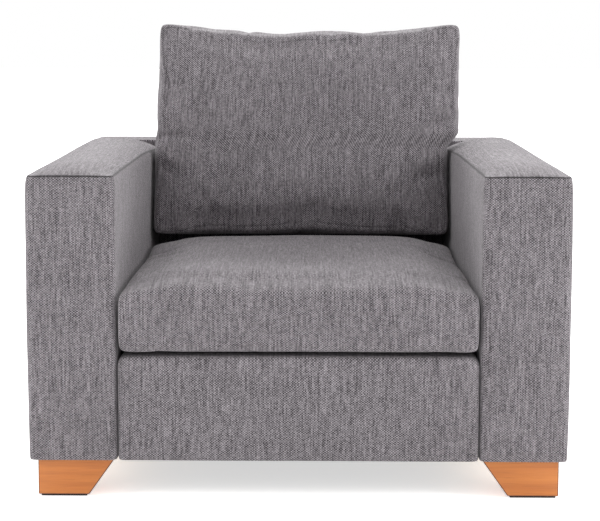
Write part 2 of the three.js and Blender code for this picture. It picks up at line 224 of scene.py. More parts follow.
# Builds a material's nodes and links them as it goes
class Nodes:
    def __init__(self, name):
        self.material = bpy.data.materials.new(name)
        self.material.use_nodes = True
        self.tree = self.material.node_tree
        self.shader = self.tree.nodes["Principled BSDF"]

    def add(self, kind, **values):
        node = self.tree.nodes.new("ShaderNode" + kind)
        for key, value in values.items():
            setattr(node, key, value)
        return node

    def link(self, a, b):
        self.tree.links.new(a, b)

    # A maths node fed with sockets or numbers
    def maths(self, operation, *inputs):
        node = self.add("Math", operation=operation)
        for socket, value in zip(node.inputs, inputs):
            if isinstance(value, (int, float)):
                socket.default_value = value
            else:
                self.link(value, socket)
        return node.outputs[0]

    def ramp(self, factor, stops):
        node = self.add("ValToRGB")
        node.color_ramp.elements[0].position = stops[0][0]
        node.color_ramp.elements[0].color = (*stops[0][1], 1)
        node.color_ramp.elements[1].position = stops[-1][0]
        node.color_ramp.elements[1].color = (*stops[-1][1], 1)
        for place, colour in stops[1:-1]:
            node.color_ramp.elements.new(place).color = (*colour, 1)
        self.link(factor, node.inputs[0])
        return node.outputs[0]

    def mix(self, factor, a, b, blend="MIX"):
        node = self.add("Mix", data_type="RGBA", blend_type=blend)
        for socket, value in ((node.inputs[0], factor), (node.inputs[6], a), (node.inputs[7], b)):
            if isinstance(value, (int, float)):
                socket.default_value = value
            elif isinstance(value, tuple):
                socket.default_value = (*value, 1)
            else:
                self.link(value, socket)
        return node.outputs[2]

    # Noise on a stretched copy of some coordinates
    def noise(self, coordinates, scale, detail=3, roughness=0.5, turn=(0, 0, 0)):
        place = self.add("Mapping")
        place.inputs["Scale"].default_value = scale
        place.inputs["Rotation"].default_value = turn
        self.link(coordinates, place.inputs["Vector"])
        node = self.add("TexNoise")
        node.inputs["Scale"].default_value = 1
        node.inputs["Detail"].default_value = detail
        node.inputs["Roughness"].default_value = roughness
        self.link(place.outputs[0], node.inputs["Vector"])
        return node.outputs["Fac"]

    def bump(self, height, distance, strength=1.0, under=None):
        node = self.add("Bump")
        node.inputs["Distance"].default_value = distance
        node.inputs["Strength"].default_value = strength
        self.link(height, node.inputs["Height"])
        if under is not None:
            self.link(under, node.inputs["Normal"])
        return node.outputs[0]

    def finish(self, colour=None, roughness=None, normal=None):
        for value, name in ((colour, "Base Color"), (roughness, "Roughness"), (normal, "Normal")):
            if isinstance(value, (int, float)):
                self.shader.inputs[name].default_value = value
            elif value is not None:
                self.link(value, self.shader.inputs[name])
        return self.material


greyWeave = {
    "dark": (0.030, 0.026, 0.029),
    "light": (0.405, 0.374, 0.397),
    "dotWidth": 0.00606,   # one repeat across, in metres
    "dotHeight": 0.00485,
    "contrast": 0.49,
    "uneven": 0.36,
    "slubs": 0.52,
    "base": 0.43,          # middle tone between the two colours
    "fibres": 0.45,
    "threads": 0.05,
    "wander": 0.004,       # how far the rows drift, in metres
    # painted shade: how far the cloth darkens along the seam valleys
    "paintedSeamShade": 0.85,
    "relief": 0.0006,
    "pucker": 0.0012,      # gathers beside a seam
    "roughness": 0.82,
    "gloss": 0.15,
    "sheen": 0.30,
    "sheenRoughness": 0.45,
}


# A bird's-eye weave of dark and light yarns with upright slubs, on the piece's own map
def makeWeave(name, weave):
    n = Nodes(name)
    uv = n.add("UVMap", uv_map="weave").outputs[0]
    place = n.add("SeparateXYZ")
    n.link(uv, place.inputs[0])
    wander = n.noise(uv, (26, 26, 1), 1)
    drift = n.maths("MULTIPLY", n.maths("SUBTRACT", wander, 0.5), weave["wander"])
    u = n.maths("ADD", place.outputs[0], drift)
    v = n.maths("SUBTRACT", place.outputs[1], drift)
    across = n.maths("SINE", n.maths("MULTIPLY", u, 2 * math.pi / weave["dotWidth"]))
    up = n.maths("SINE", n.maths("MULTIPLY", v, 2 * math.pi / weave["dotHeight"]))
    dots = n.maths("MULTIPLY", across, up)
    strength = n.maths("ADD", 0.4, n.maths("MULTIPLY", n.noise(uv, (95, 55, 1), 2, 0.6), 1.0))
    dots = n.maths("MULTIPLY", dots, strength)
    floats = n.add("CombineXYZ")
    n.link(n.maths("FLOOR", n.maths("MULTIPLY", u, 2 / weave["dotWidth"])), floats.inputs[0])
    n.link(n.maths("FLOOR", n.maths("MULTIPLY", v, 2 / weave["dotHeight"])), floats.inputs[1])
    yarn = n.add("TexWhiteNoise", noise_dimensions="2D")
    n.link(floats.outputs[0], yarn.inputs["Vector"])
    uneven = n.maths("MULTIPLY", n.maths("SUBTRACT", yarn.outputs["Value"], 0.5), weave["uneven"])
    warp = n.maths("SINE", n.maths("MULTIPLY", place.outputs[0], 2 * math.pi / (weave["dotWidth"] / 5)))
    weft = n.maths("SINE", n.maths("MULTIPLY", place.outputs[1], 2 * math.pi / (weave["dotHeight"] / 4)))
    slubs = n.noise(uv, (320, 24, 1), 2, 0.6)
    streaks = n.noise(uv, (190, 6, 1), 2, 0.5)
    fibres = n.noise(uv, (900, 600, 1), 2, 0.6)
    slubs = n.maths("MULTIPLY", n.maths("SUBTRACT", slubs, 0.5), 2 * weave["slubs"])
    streaks = n.maths("MULTIPLY", n.maths("SUBTRACT", streaks, 0.5), weave["slubs"])
    fibres = n.maths("MULTIPLY", n.maths("SUBTRACT", fibres, 0.5), weave["fibres"])
    value = n.maths("ADD", weave["base"], n.maths("MULTIPLY", dots, weave["contrast"]))
    value = n.maths("ADD", value, n.maths("ADD", slubs, streaks))
    value = n.maths("ADD", value, n.maths("ADD", fibres, uneven))
    threads = n.maths("MULTIPLY", n.maths("MULTIPLY", warp, weft), weave["threads"])
    value = n.maths("ADD", value, threads)
    colour = n.mix(n.maths("MINIMUM", n.maths("MAXIMUM", value, 0), 1), weave["dark"], weave["light"])
    patches = n.ramp(n.noise(uv, (7, 5, 1), 3), [(0.3, (0.90, 0.90, 0.90)), (0.7, (1.0, 1.0, 1.0))])
    colour = n.mix(1.0, colour, patches, "MULTIPLY")
    # Painted shade: the cloth turns dark along the seams, where their grooves would be in shadow
    seam = n.add("Attribute", attribute_name="seam").outputs["Fac"]
    paintedSeamDarkening = n.maths("MULTIPLY", n.maths("MINIMUM", n.maths("MULTIPLY", seam, 1.7), 1), weave["paintedSeamShade"])
    colour = n.mix(paintedSeamDarkening, colour, tuple(0.25 * c for c in weave["dark"]))
    pucker = n.maths("MULTIPLY", n.noise(uv, (170, 170, 1), 1), seam)
    normal = n.bump(value, weave["relief"], 0.8)
    normal = n.bump(pucker, weave["pucker"], 0.6, normal)
    n.shader.inputs["Sheen Weight"].default_value = weave["sheen"]
    n.shader.inputs["Sheen Roughness"].default_value = weave["sheenRoughness"]
    n.shader.inputs["Sheen Tint"].default_value = (0.95, 0.93, 0.94, 1)
    n.shader.inputs["Specular IOR Level"].default_value = weave["gloss"]
    roughness = n.maths("ADD", weave["roughness"], n.maths("MULTIPLY", value, 0.12))
    return n.finish(colour, roughness, normal)


blockWood = {
    "pale": (0.62, 0.210, 0.035),
    "mid": (0.56, 0.175, 0.026),
    "deep": (0.45, 0.124, 0.016),
    "cut": (0.16, 0.048, 0.016),
}
frameWood = {
    "pale": (0.62, 0.44, 0.25),
    "mid": (0.52, 0.34, 0.18),
    "deep": (0.36, 0.21, 0.10),
}


# Lacquered wood whose grain runs across the chair
def makeWood(name, tones, shine=0.38, grainRun=(2.2, 34, 60)):
    n = Nodes(name)
    where = n.add("TexCoord").outputs["Object"]
    bands = n.noise(where, grainRun, 4, 0.55)
    figure = n.noise(where, tuple(0.35 * g for g in grainRun), 2, 0.5, (0.0, 0.06, 0.0))
    pores = n.noise(where, tuple(7 * g for g in grainRun), 3, 0.6)
    grain = n.maths("ADD", n.maths("MULTIPLY", bands, 0.6), n.maths("MULTIPLY", figure, 0.4))
    colour = n.ramp(grain, [(0.36, tones["deep"]), (0.47, tones["mid"]), (0.62, tones["pale"])])
    flecks = n.ramp(pores, [(0.30, (0.72, 0.66, 0.60)), (0.46, (1, 1, 1))])
    colour = n.mix(0.55, colour, flecks, "MULTIPLY")
    roughness = n.maths("ADD", shine, n.maths("MULTIPLY", pores, 0.14))
    normal = n.bump(n.maths("ADD", pores, grain), 0.0003, 0.35)
    n.shader.inputs["Coat Weight"].default_value = 0.25
    n.shader.inputs["Coat Roughness"].default_value = 0.3
    return n.finish(colour, roughness, normal)


def makeSpeckled(name, base, other, scale, roughness, depth, metallic=0.0, stretch=(1, 1, 1)):
    n = Nodes(name)
    where = n.add("TexCoord").outputs["Object"]
    coarse = n.noise(where, tuple(scale * s for s in stretch), 4, 0.6)
    fine = n.noise(where, tuple(5 * scale * s for s in stretch), 2, 0.6)
    both = n.maths("ADD", n.maths("MULTIPLY", coarse, 0.6), n.maths("MULTIPLY", fine, 0.4))
    colour = n.ramp(both, [(0.38, base), (0.62, other)])
    rough = n.maths("ADD", roughness - 0.08, n.maths("MULTIPLY", coarse, 0.16))
    n.shader.inputs["Metallic"].default_value = metallic
    return n.finish(colour, rough, n.bump(both, depth, 0.5))


# A plain basket weave for straps, linings and zip tape
def makeStrapping(name, dark, light, pitch):
    n = Nodes(name)
    where = n.add("TexCoord").outputs["Object"]
    place = n.add("SeparateXYZ")
    n.link(where, place.inputs[0])
    turns = 2 * math.pi / pitch
    waves = [n.maths("SINE", n.maths("MULTIPLY", place.outputs[i], turns)) for i in range(3)]
    level = n.maths("MULTIPLY", waves[0], waves[1])
    upright = n.maths("MULTIPLY", waves[0], waves[2])
    value = n.maths("ADD", level, upright)
    value = n.maths("ADD", n.maths("MULTIPLY", value, 0.25), n.noise(where, (160, 160, 160), 3))
    colour = n.ramp(value, [(0.2, dark), (0.8, light)])
    return n.finish(colour, 0.9, n.bump(value, 0.0004, 0.5))


clothGrey = makeWeave("cloth_grey", greyWeave)
woodOrange = makeWood("wood_orange", blockWood)
# The foot chamfers get a much darker wood tone than the faces
woodDarkChamfer = makeWood("wood_cut_edge", {k: blockWood["cut"] for k in ("pale", "mid", "deep")}, 0.5)
woodFrame = makeWood("wood_frame", frameWood, 0.7)
# Two tones, speckles per metre, roughness, depth of the relief, then metallic and stretch
boardHard = makeSpeckled("board_hard", (0.24, 0.15, 0.08), (0.36, 0.24, 0.14), 260, 0.8, 0.0003)
foamYellow = makeSpeckled("foam_yellow", (0.60, 0.50, 0.28), (0.76, 0.68, 0.44), 420, 0.95, 0.0012)
liningBlack = makeSpeckled(
    "lining_black", (0.012, 0.012, 0.013), (0.034, 0.033, 0.036), 700, 0.92, 0.0005)
feltDark = makeSpeckled("felt_dark", (0.020, 0.019, 0.019), (0.060, 0.057, 0.055), 380, 0.95, 0.0008)
strapWeb = makeStrapping("strap_webbing", (0.05, 0.045, 0.04), (0.17, 0.15, 0.12), 0.003)
tapeWoven = makeStrapping("tape_woven", (0.06, 0.055, 0.06), (0.16, 0.15, 0.16), 0.0016)
steelBright = makeSpeckled(
    "steel_bright", (0.42, 0.43, 0.45), (0.62, 0.63, 0.65), 90, 0.35, 0.0002, 1.0, (0.3, 0.3, 4))
rubberBlack = makeSpeckled(
    "rubber_black", (0.010, 0.010, 0.011), (0.030, 0.029, 0.028), 500, 0.75, 0.0004)
print("materials made")


# Covers stretched over the arms, with a foam pad under each
armShape = {
    "cell": 0.018,
    "frontCorner": 0.014,
    "seamDrop": 0.002,     # seams round the top, under the frame's arm height
    "crown": 0.018,        # rise of the top over its seams
    "rearDip": 0.012,      # how far the inner top edge sinks towards the back
    "rearLift": 0.005,     # how far the outer top edge rises towards the back
    "tuck": 0.004,         # the sides lean in at the top seam
    "rearDipFrom": 0.55,   # share of the arm's length where it starts
    "rearRoll": 0.020,     # the top rolls down before the back
    "wall": 0.0025,
    "padWall": 0.009,
    "padGap": 0.001,
    "seamWidth": 0.0056,
    "seamDepth": 0.0024,
    "drape": 0.0012,       # soft unevenness of the stretched cloth
    "belly": 0.0022,       # how far the sides swell at half height
    "endLip": 0.018,       # cloth turned in at the rear end
}


# A layer of foam just under a cover that hasn't got its thickness yet
def layFoam(cover, name, node, gap, wall):
    pickOnly(cover)
    bpy.ops.object.duplicate()
    foam = bpy.context.object
    foam.name = name
    foam.data.name = name
    co = points(foam)
    normals = np.zeros(len(co) * 3)
    foam.data.vertices.foreach_get("normal", normals)
    setPoints(foam, co - normals.reshape(-1, 3) * gap)
    thickness = foam.modifiers.new("wall", "SOLIDIFY")
    thickness.thickness = wall
    thickness.offset = -1
    applyAll(foam)
    subdivideSmooth(foam)
    smoothShade(foam)
    giveMaterial(foam, foamYellow)
    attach(foam, "frame")
    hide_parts(node)
    return foam


def giveWall(cover, wall):
    thickness = cover.modifiers.new("wall", "SOLIDIFY")
    thickness.thickness = wall
    thickness.offset = -1
    applyAll(cover)
    subdivideSmooth(cover)
    smoothShade(cover)
    giveMaterial(cover, clothGrey)


def makeArmCover(side, sign):
    low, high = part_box(f"arm_cover_{side}")
    shape = armShape
    top = high.z - shape["seamDrop"]
    cover = addBlock(f"armCover_{side}", low, (high.x, high.y, top))
    bpy.ops.object.mode_set(mode="EDIT")
    pick(cover, "FACE", lambda f: f.normal.z < -0.5)
    bpy.ops.mesh.delete(type="FACE")
    pick(cover, "FACE", lambda f: f.normal.y > 0.5)
    bpy.ops.mesh.inset(thickness=shape["endLip"], depth=0, use_boundary=False)
    bpy.ops.mesh.delete(type="FACE")
    pick(cover, "EDGE", lambda e: along(e, 2) and middleOf(e).y < low.y + 0.001)
    bpy.ops.mesh.bevel(offset=shape["frontCorner"], segments=4)
    cutIntoCells(cover, shape["cell"])
    bpy.ops.object.mode_set(mode="OBJECT")
    layWeave(cover, low, Vector((high.x, high.y, top)))
    markSeams(cover, lambda e: all(v.co.z > top - 0.0001 for v in e.verts)
              and abs(sum(f.normal.z for f in e.link_faces) - 1) < 0.1 and len(e.link_faces) == 2
              and middleOf(e).y < high.y - 0.0001)
    shapeArm(cover, low, high, top, sign)
    gap = shape["wall"] + shape["seamDepth"] + shape["padGap"]
    layFoam(cover, f"armPad_{side}", f"arm_pad_{side}", gap, shape["padWall"])
    sewSeams(cover, shape["seamWidth"], shape["seamDepth"])
    giveWall(cover, shape["wall"])
    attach(cover, "frame")
    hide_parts(f"arm_cover_{side}")
    return cover


# Crowns the top, rolls its edges over and sinks the inner edge towards the back
def shapeArm(cover, low, high, top, sign):
    shape = armShape
    co = points(cover)
    half = (high.x - low.x) / 2
    across = (co[:, 0] - (low.x + high.x) / 2) / half * sign     # 1 at the outer side, -1 at the inner
    back = (co[:, 1] - low.y) / (high.y - low.y)
    height = (co[:, 2] - low.z) / (top - low.z)
    onTop = height > 0.999
    bow = np.clip(1 - np.abs(across) ** 2.4, 0, 1) * (1 - (1 - np.clip(back * 7, 0, 1)) ** 2.2)
    dip = shape["rearDip"] * smoothStep(shape["rearDipFrom"], 1.0, back) * smoothStep(0.45, -1.0, across)
    roll = shape["rearRoll"] * np.clip((back - 0.93) / 0.07, 0, 1) ** 2
    lift = shape["rearLift"] * smoothStep(0.15, 1.0, back) * smoothStep(-0.3, 1.0, across)
    co[:, 2] += np.where(onTop, shape["crown"] * bow, 0) + lift * smoothStep(0.7, 1.0, height)
    co[:, 2] -= np.maximum(dip, roll * smoothStep(1.0, 0.2, across)) * smoothStep(0.8, 1.0, height)
    drape = shape["drape"] * softNoise(co, 5.0, 3 + sign)
    belly = shape["belly"] * np.sin(np.pi * np.clip(height, 0, 1))
    outer = (across > 0.98) & ~onTop
    facing = (co[:, 1] < low.y + 0.001) & ~onTop
    co[:, 0] += np.where(outer, sign * (drape + belly - 0.001), 0)
    co[:, 1] -= np.where(facing, drape + belly, 0)
    co[:, 2] += np.where(onTop, drape * 2 * bow, 0)
    tuck = shape["tuck"] * smoothStep(0.975, 1.0, height)
    co[:, 0] -= np.where(across > 0.9, sign * tuck, 0)
    co[:, 0] += np.where(across < -0.9, sign * 0.5 * tuck, 0)
    co[:, 1] += np.where(facing | (onTop & (back < 0.001)), 0.5 * tuck, 0)
    setPoints(cover, co)


armCovers = [makeArmCover(side, sign) for side, sign in (("left", -1), ("right", 1))]
print("arm covers made")


# The cover over the front rail, between the arms
railShape = {
    "cell": 0.02,
    "topCorner": 0.019,    # corners seen from the front
    "frontRoll": 0.014,    # front top edge
    "belly": 0.004,
    "drape": 0.0012,
    "wall": 0.0025,
    "padWall": 0.011,
    "padGap": 0.001,
}


def makeRailCover():
    low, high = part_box("front_rail_cover")
    shape = railShape
    cover = addBlock("frontRailCover", low, high)
    bpy.ops.object.mode_set(mode="EDIT")
    pick(cover, "FACE", lambda f: f.normal.z < -0.5 or f.normal.y > 0.5)
    bpy.ops.mesh.delete(type="FACE")
    pick(cover, "EDGE", lambda e: along(e, 1) and middleOf(e).z > high.z - 0.001)
    bpy.ops.mesh.bevel(offset=shape["topCorner"], segments=5)
    pick(cover, "EDGE", lambda e: len(e.link_faces) == 2 and middleOf(e).y < low.y + 0.0001
         and sum(f.normal.y < -0.9 for f in e.link_faces) == 1)
    bpy.ops.mesh.bevel(offset=shape["frontRoll"], segments=3)
    cutIntoCells(cover, shape["cell"])
    bpy.ops.object.mode_set(mode="OBJECT")
    layWeave(cover, low, high)
    co = points(cover)
    sideways = (co[:, 0] - low.x) / (high.x - low.x)
    up = (co[:, 2] - low.z) / (high.z - low.z)
    bow = np.clip(4 * sideways * (1 - sideways), 0, 1) ** 0.4 * np.sin(np.pi * np.clip(up, 0, 1))
    front = co[:, 1] < low.y + 0.001
    drape = shape["drape"] * softNoise(co, 5.0, 11)
    co[:, 1] -= np.where(front, shape["belly"] * bow + drape, 0)
    setPoints(cover, co)
    gap = shape["wall"] + shape["padGap"]
    layFoam(cover, "frontRailPad", "front_rail_pad", gap, shape["padWall"])
    giveWall(cover, shape["wall"])
    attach(cover, "frame")
    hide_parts("front_rail_cover")
    return cover


frontRailCover = makeRailCover()
print("front rail cover made")


# The cover round the back frame and the panel behind it
backShape = {
    "cell": 0.024,
    "endCorner": 0.017,
    "topRoll": 0.028,
    "crown": 0.001,
    "drape": 0.001,
    "wall": 0.0025,
    "rearLip": 0.010,      # cloth turned in over the rear panel's edge
    "panelLip": 0.006,
    "panelCell": 0.03,
    "panelBelly": 0.006,
    "panelSink": 0.003,    # how far the rear panel's edge lies under that lip
    "panelCorner": 0.013,
}


def makeBackCover():
    low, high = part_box("back_cover")
    shape = backShape
    cover = addBlock("backCover", low, high)
    bpy.ops.object.mode_set(mode="EDIT")
    pick(cover, "FACE", lambda f: f.normal.z < -0.5)
    bpy.ops.mesh.delete(type="FACE")
    pick(cover, "EDGE", lambda e: along(e, 1) and middleOf(e).z > high.z - 0.001)
    bpy.ops.mesh.bevel(offset=shape["endCorner"], segments=4)
    pick(cover, "EDGE", lambda e: along(e, 0) and middleOf(e).y < low.y + 0.001
         and middleOf(e).z > high.z - 0.001)
    bpy.ops.mesh.bevel(offset=shape["topRoll"], segments=4)
    pick(cover, "FACE", lambda f: f.normal.y > 0.5)
    bpy.ops.mesh.inset(thickness=shape["rearLip"], depth=0, use_boundary=False)
    bpy.ops.mesh.delete(type="FACE")
    cutIntoCells(cover, shape["cell"])
    bpy.ops.object.mode_set(mode="OBJECT")
    layWeave(cover, low, high)
    co = points(cover)
    deep = (co[:, 1] - low.y) / (high.y - low.y)
    onTop = co[:, 2] > high.z - 0.001
    rise = shape["crown"] * np.sin(np.pi * np.clip(deep, 0, 1)) + shape["drape"] * softNoise(co, 5, 5)
    co[:, 2] += np.where(onTop, rise, 0)
    setPoints(cover, co)
    giveWall(cover, shape["wall"])
    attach(cover, "frame")
    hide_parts("back_cover")
    return cover


# The outside back: a panel pulled over the rear, with a sewn edge
def makeOutsideBack():
    low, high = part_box("outside_back_panel")
    shape = backShape
    panel = addBlock("outsideBack", low, high)
    bpy.ops.object.mode_set(mode="EDIT")
    pick(panel, "EDGE", lambda e: along(e, 1) and middleOf(e).z > high.z - 0.001)
    bpy.ops.mesh.bevel(offset=shape["panelCorner"], segments=4)
    pick(panel, "FACE", lambda f: f.normal.y > 0.5)
    bpy.ops.mesh.inset(thickness=shape["panelLip"], depth=0)
    bpy.ops.mesh.inset(thickness=shape["panelLip"] / 2, depth=0)
    cutIntoCells(panel, shape["panelCell"])
    bpy.ops.object.mode_set(mode="OBJECT")
    layWeave(panel, low, high)
    co = points(panel)
    across = np.abs(co[:, 0]) / high.x
    up = (co[:, 2] - low.z) / (high.z - low.z)
    belly = np.clip((1 - across ** 8) * (1 - (2 * up - 1) ** 8), 0, 1)
    rearFace = co[:, 1] > high.y - 0.0005
    swell = shape["panelBelly"] * belly ** 0.5 - shape["panelSink"]
    co[:, 1] += np.where(rearFace, swell + shape["drape"] * softNoise(co, 4, 8), 0)
    setPoints(panel, co)
    subdivideSmooth(panel)
    smoothShade(panel, 50)
    giveMaterial(panel, clothGrey)
    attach(panel, "frame")
    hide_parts("outside_back_panel")
    return panel


insideBackShape = {
    "cell": 0.028,
    "wall": 0.0022,
    "topEdge": 0.003,      # what is left of the lean at the top
    "bow": 0.002,
    "foamGap": 0.0028,
    "foamDrop": 0.05,      # the foam stops this far under the cover's top
    "foamEdge": 0.002,
    "foamTop": 0.004,
}


# The leaning inside back, seen when the back cushion is off: a cover over front, ends and top
def makeInsideBack():
    low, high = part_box("inside_back_cover")
    shape = insideBackShape
    cover = addBlock("insideBack", low, high)
    bpy.ops.object.mode_set(mode="EDIT")
    pick(cover, "FACE", lambda f: f.normal.z < -0.5 or f.normal.y > 0.5)
    bpy.ops.mesh.delete(type="FACE")
    cutIntoCells(cover, shape["cell"])
    bpy.ops.object.mode_set(mode="OBJECT")
    layWeave(cover, low, high)
    leanForward(cover, low, high, shape["topEdge"])
    giveWall(cover, shape["wall"])
    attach(cover, "frame")
    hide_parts("inside_back_cover")
    return cover


# Leans the front of an upright block, so that only a thin edge is left at the top
def leanForward(piece, low, high, edge):
    co = points(piece)
    up = (co[:, 2] - low.z) / (high.z - low.z)
    ahead = (high.y - co[:, 1]) / (high.y - low.y)
    depth = edge + (1 - up) * (high.y - low.y - edge)
    across = np.clip(np.abs(co[:, 0]) / high.x, 0, 1)
    bow = insideBackShape["bow"] * (1 - across ** 6) * np.sin(np.pi * np.clip(up, 0, 1))
    co[:, 1] = high.y - ahead * (depth + bow)
    setPoints(piece, co)


# The wedge of foam inside that cover
def makeBackWedge():
    low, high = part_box("inside_back_cover")
    shape = insideBackShape
    gap = shape["wall"] + shape["foamGap"]
    low = low + Vector((gap, gap, 0.001))
    high = Vector((high.x - gap, high.y, high.z - shape["foamDrop"]))
    wedge = addBlock("backWedge", low, high)
    bpy.ops.object.mode_set(mode="EDIT")
    bpy.ops.mesh.select_all(action="SELECT")
    bpy.ops.mesh.bevel(offset=shape["foamEdge"], segments=2)
    cutIntoCells(wedge, 2 * shape["cell"])
    bpy.ops.object.mode_set(mode="OBJECT")
    leanForward(wedge, low, high, shape["foamTop"])
    smoothShade(wedge, 50)
    giveMaterial(wedge, foamYellow)
    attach(wedge, "frame")
    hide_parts("back_wedge")
    return wedge


backCover = makeBackCover()
outsideBack = makeOutsideBack()
insideBack = makeInsideBack()
backWedge = makeBackWedge()
print("back covers made")


# What the two loose cushions share: cloth, cell size and seams
cushionCloth = {
    "cell": 0.0085,
    "frames": 20,
    "quality": 5,
    "tension": 18,
    "shear": 6,
    "bending": 0.6,
    "mass": 0.25,
    "seamWidth": 0.0046,
    "seamDepth": 0.0024,
    # strength of the painted shade along the cushions' seams
    "paintedSeamShade": 0.35,
    "overshoot": 0.002,    # how far a calmed side may still bulge
}


# Inflates a closed form as cloth with pressure inside, and caps how far each point goes
def inflate(piece, pressure, grow, cap):
    start = points(piece)
    pickOnly(piece)
    cloth = piece.modifiers.new("inflate", "CLOTH")
    settings = cloth.settings
    settings.quality = cushionCloth["quality"]
    settings.mass = cushionCloth["mass"]
    settings.tension_stiffness = cushionCloth["tension"]
    settings.compression_stiffness = cushionCloth["tension"]
    settings.shear_stiffness = cushionCloth["shear"]
    settings.bending_stiffness = cushionCloth["bending"]
    settings.use_pressure = True
    settings.uniform_pressure_force = pressure
    settings.shrink_min = -grow
    settings.effector_weights.gravity = 0
    cloth.collision_settings.use_collision = False
    for step in range(1, cushionCloth["frames"] + 1):
        bpy.context.scene.frame_set(step)
    bpy.ops.object.modifier_apply(modifier="inflate")
    bpy.context.scene.frame_set(1)
    co = points(piece)
    move = co - start
    length = np.linalg.norm(move, axis=1)
    limit = np.where(length > 1e-9, cap * np.tanh(length / cap) / np.maximum(length, 1e-9), 1)
    setPoints(piece, start + move * limit[:, None])


# Draws one side of a cushion towards a flat place, and keeps a share of its dents
def calmSide(piece, axis, sign, place, keep, band=0.06):
    co = points(piece)
    edge = co[:, axis] * sign
    reach = edge.max()
    near = smoothStep(reach - band, reach - 0.25 * band, edge)
    middle = np.median(edge[edge > reach - 0.35 * band])
    wanted = np.minimum(place * sign + keep * (edge - middle), place * sign + cushionCloth["overshoot"])
    change = np.where(edge > reach - band, wanted - edge, 0)
    edge = edge + near * change * smoothStep(reach - band, reach - 0.6 * band, edge)
    co[:, axis] = edge * sign
    setPoints(piece, co)


backCushionShape = {
    "lean": math.radians(8),
    "thickness": 0.200,
    "height": 0.500,
    "start": (0.008, 0.012, 0.006),     # how much smaller it starts, before it swells
    "round": 0.030,        # corners of the front and back panels
    "corner": 0.011,       # rounded edge between a panel and the sides
    "pressure": 3.0,
    "grow": 0.016,
    "cap": 0.024,
    "wobble": 0.0025,
    "sag": 0.016,          # how far the top sinks between its corners
    "lift": 0.004,
    "lumps": ((-0.06, 0.045, 0.005), (0.135, 0.030, 0.005), (-0.26, 0.03, -0.002)),
    "sideways": 0.016,     # pushed towards the right arm
    "overhang": 0.012,     # swells over the arms
    "leftTaper": 0.009,    # the left side leans in at the top
    "seamDepth": 0.0024,
    # strength of the painted shade along this cushion's seams
    "paintedSeamShade": 0.28,
    "seed": 4,
}


def makeBackCushion():
    boxLow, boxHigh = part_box("back_cushion_cover")
    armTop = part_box("arm_cover_left")[1].z
    shape = backCushionShape
    half = Vector(((boxHigh.x - boxLow.x) / 2, shape["thickness"] / 2, shape["height"] / 2))
    inner = half - Vector(shape["start"])
    cushion = addBlock("backCushion", -inner, inner)
    bpy.ops.object.mode_set(mode="EDIT")
    pick(cushion, "EDGE", lambda e: along(e, 1))
    bpy.ops.mesh.bevel(offset=shape["round"], segments=4)
    pick(cushion, "EDGE", lambda e: abs(middleOf(e).y) > inner.y - 0.0001)
    bpy.ops.mesh.bevel(offset=shape["corner"], segments=2)
    cutIntoCells(cushion, cushionCloth["cell"])
    bpy.ops.object.mode_set(mode="OBJECT")
    # the seams run round the front and back panels, where each flat face meets its rounded edge
    markSeams(cushion, lambda e: len(e.link_faces) == 2
              and sum(abs(f.normal.y) > 0.99 for f in e.link_faces) == 1
              and all(abs(v.co.y) > inner.y - 0.0001 for v in e.verts))
    co = points(cushion)
    wobble = np.stack([softNoise(co, 6.0, shape["seed"] + i) for i in range(3)], 1)
    setPoints(cushion, co + wobble * shape["wobble"])
    inflate(cushion, shape["pressure"], shape["grow"], shape["cap"])
    for axis, sign, place, keep in ((0, -1, -half.x, 0.2), (0, 1, half.x, 0.2), (2, -1, -half.z, 0.1),
                                    (2, 1, half.z, 0.5)):
        calmSide(cushion, axis, sign, place, keep)
    layWeave(cushion, -half, half)
    sewSeams(cushion, cushionCloth["seamWidth"], shape["seamDepth"], shape["paintedSeamShade"])
    subdivideSmooth(cushion)
    co = points(cushion)
    spread = (2 * half.y) / (co[:, 1].max() - co[:, 1].min())
    co[:, 1] = -half.y + (co[:, 1] - co[:, 1].min()) * spread
    across = co[:, 0] / half.x
    up = (co[:, 2] + half.z) / (2 * half.z)
    top = smoothStep(0.5, 1.0, up)
    dip = shape["sag"] * np.clip(1 - np.abs(across) ** 3.2, 0, 1)
    co[:, 2] -= top * dip - top * shape["lift"]
    for place, width, depth in shape["lumps"]:
        co[:, 2] -= top * depth * np.exp(-((co[:, 0] - place) / width) ** 2)
    setPoints(cushion, co)
    leanBack = Euler((-shape["lean"], 0, 0)).to_matrix().to_4x4()
    cushion.data.transform(Matrix.Translation((boxLow + boxHigh) / 2) @ leanBack)
    co = points(cushion)
    free = smoothStep(armTop - 0.004, armTop + 0.04, co[:, 2])
    co[:, 0] += free * (shape["sideways"] + shape["overhang"] * np.clip(co[:, 0] / half.x, -1, 1))
    risen = smoothStep(armTop + 0.08, boxHigh.z, co[:, 2])
    co[:, 0] += shape["leftTaper"] * risen * np.clip(-co[:, 0] / half.x, 0, 1)
    setPoints(cushion, co)
    smoothShade(cushion)
    giveMaterial(cushion, clothGrey)
    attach(cushion, "back_cushion")
    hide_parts("back_cushion_cover", "back_cushion_core")
    return cushion


seatCushionShape = {
    "start": (0.008, 0.008, 0.004),
    "corner": 0.020,
    "lowCorner": 0.030,    # lower corners of the front face
    "fullness": 7.0,       # how flat the crown stays across before it falls to the sides
    "pressure": 2.6,
    "grow": 0.006,
    "cap": 0.014,
    "wobble": 0.0015,
    "seed": 9,
    "edgeHeight": 0.118,   # height of the sides, under the crown
    "rearFall": 0.045,     # how far the top falls off under the back cushion
}


